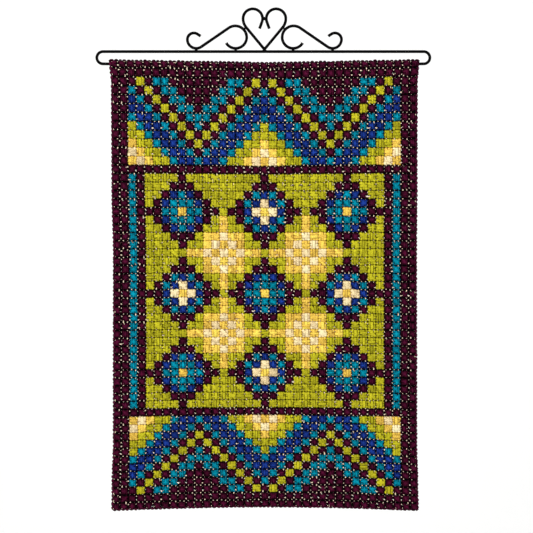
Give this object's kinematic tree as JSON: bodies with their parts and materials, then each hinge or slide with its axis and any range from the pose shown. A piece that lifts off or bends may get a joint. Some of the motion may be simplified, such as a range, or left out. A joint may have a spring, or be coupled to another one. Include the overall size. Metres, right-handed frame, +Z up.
{
  "type": "needlepoint canvas panel with its wire bell-pull hanger",
  "caption": "Stitched wool needlepoint panel, hung by the casing at its top from a bent black wire hanger with a heart and scrolls.",
  "frame": {"origin": "the nail point, in the middle of the wire's thickness just under the weld between the heart's two lobes", "axes": "+Z up; the stitched face looks along -Y and the wall is on the +Y side; +X is to the right as one looks at the stitched face"},
  "size_m": [0.341, 0.0098, 0.5111],
  "materials": {
    "wool_aubergine": "matt fuzzy wool yarn",
    "wool_lime": "matt fuzzy wool yarn",
    "wool_yellow": "matt fuzzy wool yarn",
    "wool_cream": "matt fuzzy wool yarn",
    "wool_teal": "matt fuzzy wool yarn",
    "wool_blue": "matt fuzzy wool yarn",
    "canvas": "stiff cotton canvas",
    "black_wire": "satin black"
  },
  "bodies": {
    "root": {"stitched_panel": "wool_aubergine", "hanger_frame": "black_wire", "heart": "black_wire", "left_scroll": "black_wire", "right_scroll": "black_wire"}
  },
  "joints": []
}
